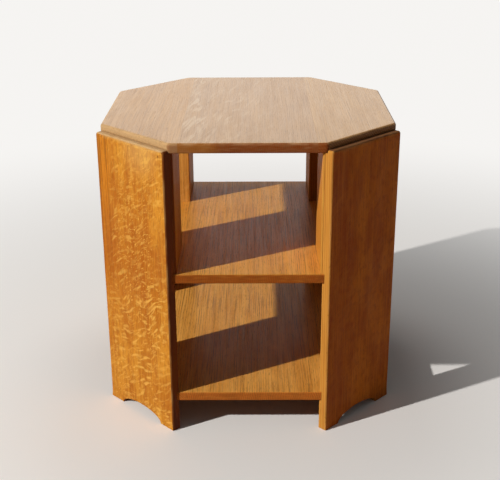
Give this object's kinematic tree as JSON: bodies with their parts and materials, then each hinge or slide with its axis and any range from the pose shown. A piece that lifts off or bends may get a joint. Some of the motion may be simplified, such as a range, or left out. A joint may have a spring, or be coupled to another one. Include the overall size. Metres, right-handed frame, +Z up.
{
  "type": "octagonal book table",
  "caption": "Octagonal oak book table: a top and open shelves on slab panels with arched feet, with upright book-end boards boxing the corners of the upper tier.",
  "frame": {"origin": "on the floor, under the middle of the top", "axes": "+Z up, the front open side towards -Y, +X to the right seen from the front"},
  "size_m": [0.6018, 0.6018, 0.61],
  "materials": {
    "oak_top": "waxed oak, grain front to back, satin",
    "oak_shelf": "waxed oak, grain front to back, satin",
    "oak_panel": "waxed quarter-sawn oak, upright grain with ray fleck, satin",
    "oak_bookend": "waxed oak, upright grain, satin",
    "pine_block": "bare sawn softwood",
    "screw_steel": "plain bright steel"
  },
  "bodies": {
    "root": {"bookend_back_bay_left": "oak_bookend", "bookend_back_bay_right": "oak_bookend", "bookend_front_bay_left": "oak_bookend", "bookend_front_bay_right": "oak_bookend", "bookend_left_bay_back": "oak_bookend", "bookend_left_bay_front": "oak_bookend", "bookend_right_bay_back": "oak_bookend", "bookend_right_bay_front": "oak_bookend", "corner_block_back_left": "pine_block", "corner_block_back_right": "pine_block", "corner_block_front_left": "pine_block", "corner_block_front_right": "pine_block", "low_shelf_board_centre": "oak_shelf", "low_shelf_board_left": "oak_shelf", "low_shelf_board_right": "oak_shelf", "mid_shelf_board_centre": "oak_shelf", "mid_shelf_board_left": "oak_shelf", "mid_shelf_board_right": "oak_shelf", "panel_back_left": "oak_panel", "panel_back_right": "oak_panel", "panel_front_left": "oak_panel", "panel_front_right": "oak_panel", "panel_screw_back_left_1": "screw_steel", "panel_screw_back_left_2": "screw_steel", "panel_screw_back_right_1": "screw_steel", "panel_screw_back_right_2": "screw_steel", "panel_screw_front_left_1": "screw_steel", "panel_screw_front_left_2": "screw_steel", "panel_screw_front_right_1": "screw_steel", "panel_screw_front_right_2": "screw_steel", "top_board_centre": "oak_top", "top_board_left": "oak_top", "top_board_right": "oak_top", "top_screw_back_left_1": "screw_steel", "top_screw_back_left_2": "screw_steel", "top_screw_back_right_1": "screw_steel", "top_screw_back_right_2": "screw_steel", "top_screw_front_left_1": "screw_steel", "top_screw_front_left_2": "screw_steel", "top_screw_front_right_1": "screw_steel", "top_screw_front_right_2": "screw_steel"}
  },
  "joints": []
}
